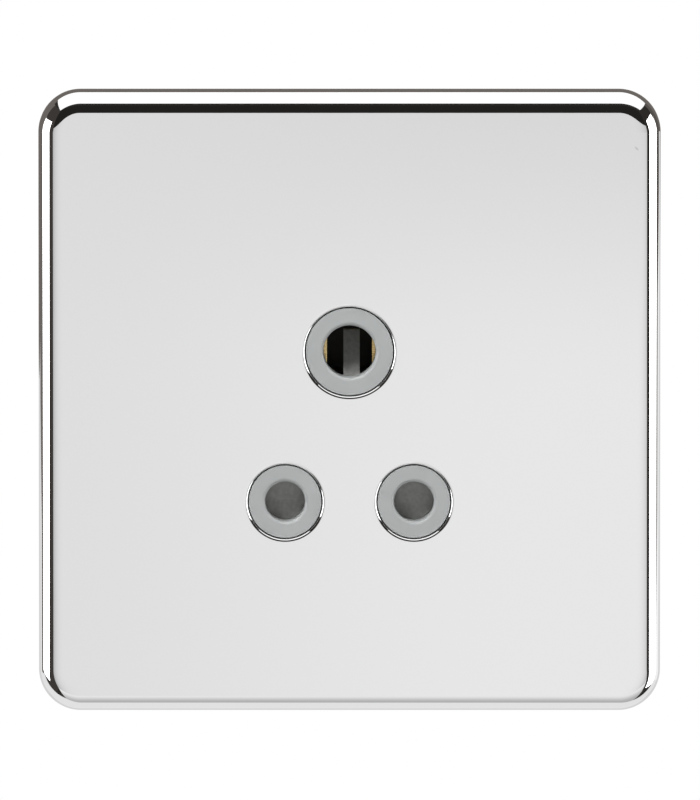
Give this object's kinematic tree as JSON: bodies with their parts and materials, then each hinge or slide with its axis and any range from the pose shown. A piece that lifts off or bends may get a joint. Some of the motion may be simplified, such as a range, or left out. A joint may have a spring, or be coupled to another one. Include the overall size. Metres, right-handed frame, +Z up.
{
  "type": "round pin socket",
  "caption": "Square wall socket: polished clip-on plate with rounded edges, grey shuttered insert with round pin apertures, brass contacts and screw terminals behind.",
  "frame": {"origin": "on the wall plane, midway between the two wall screws, at the middle of the plate", "axes": "+Z up, +X to the right seen from the front, +Y into the wall, so the front faces -Y"},
  "size_m": [0.092, 0.0257, 0.092],
  "materials": {
    "polished_plate": "polished",
    "frame_moulding": "moulded",
    "insert_moulding": "fine matt",
    "shutter_moulding": "moulded",
    "spring_wire": "bright wire",
    "housing_moulding": "moulded",
    "brass": "bright pressed",
    "plated_steel": "zinc plated"
  },
  "bodies": {
    "socket": {"front_plate": "polished_plate", "support_frame": "frame_moulding", "socket_insert": "insert_moulding", "shutter_spring": "spring_wire", "rear_housing": "housing_moulding", "line_contact": "brass", "neutral_contact": "brass", "earth_contact": "brass", "line_terminal": "brass", "neutral_terminal": "brass", "earth_terminal": "brass", "earth_strap": "brass", "line_terminal_screw": "plated_steel", "neutral_terminal_screw": "plated_steel", "earth_terminal_screw": "plated_steel", "contact_rivets": "plated_steel", "housing_screws": "plated_steel", "earth_strap_rivet": "plated_steel"},
    "shutter": {"shutter": "shutter_moulding"}
  },
  "joints": [
    {"name": "shutter_slide", "type": "slide", "parent": "socket", "child": "shutter", "axis": [0, 0, -1], "range_m": [0, 0.0064], "stiffness_N_per_m": 120, "springref_m": -0.004, "deforming": ["shutter_spring"]}
  ]
}
